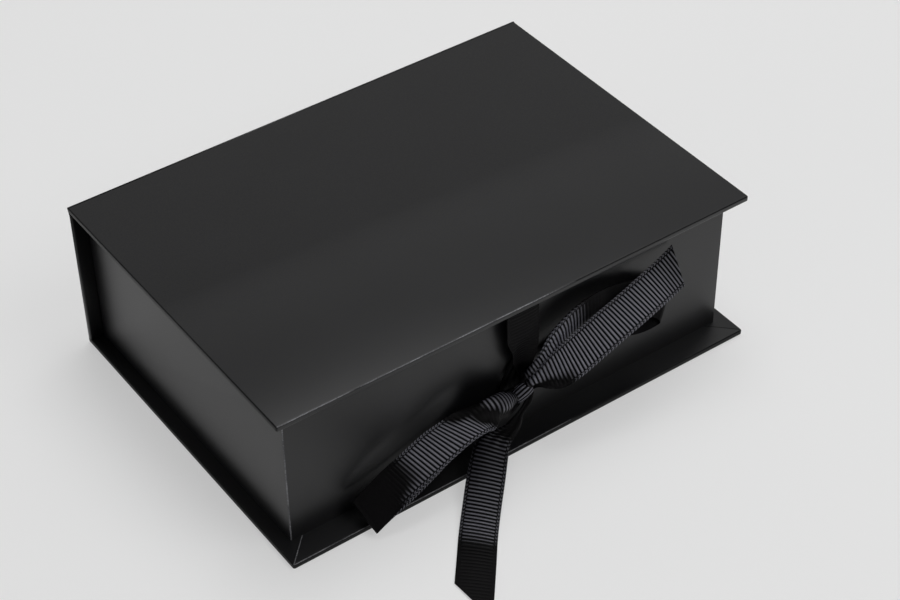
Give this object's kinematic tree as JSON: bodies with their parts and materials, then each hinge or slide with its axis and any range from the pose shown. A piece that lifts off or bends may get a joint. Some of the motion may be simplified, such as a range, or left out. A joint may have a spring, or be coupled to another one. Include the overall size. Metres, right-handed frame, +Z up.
{
  "type": "gift box",
  "caption": "Rigid book-style gift box wrapped in matt black paper, with a lid hinged on its spine and a grosgrain ribbon tied in a bow on the front.",
  "frame": {"origin": "middle of the base's underside, which lies on the table", "axes": "+Z up, -Y towards the long front side with the bow, +X to the right as seen from the front"},
  "size_m": [0.22, 0.2208, 0.07],
  "materials": {
    "case_paper": "matte",
    "lining_paper": "matte",
    "grey_board": "matte",
    "paper_tape": "matte",
    "grosgrain_ribbon": "matte"
  },
  "bodies": {
    "case": {"base_board": "grey_board", "spine_board": "grey_board", "base_wrap": "case_paper", "spine_wrap": "case_paper", "spine_liner": "lining_paper", "hinge_strip": "case_paper", "tray_floor_board": "grey_board", "tray_front_board": "grey_board", "tray_rear_board": "grey_board", "tray_left_board": "grey_board", "tray_right_board": "grey_board", "corner_stays": "paper_tape", "tray_wrap": "case_paper", "tray_wall_liner": "lining_paper", "tray_floor_liner": "lining_paper", "tray_ribbon": "grosgrain_ribbon", "bow_knot": "grosgrain_ribbon", "bow_left_loop": "grosgrain_ribbon", "bow_right_loop": "grosgrain_ribbon", "bow_upper_tail": "grosgrain_ribbon", "bow_lower_tail": "grosgrain_ribbon"},
    "lid": {"lid_board": "grey_board", "lid_wrap": "case_paper", "lid_liner": "lining_paper", "lid_ribbon": "grosgrain_ribbon"}
  },
  "joints": [
    {"name": "lid_hinge", "type": "hinge", "parent": "case", "child": "lid", "pos_m": [0, 0.0792, 0.0697], "axis": [-1, 0, 0], "range_deg": [0, 206]}
  ]
}
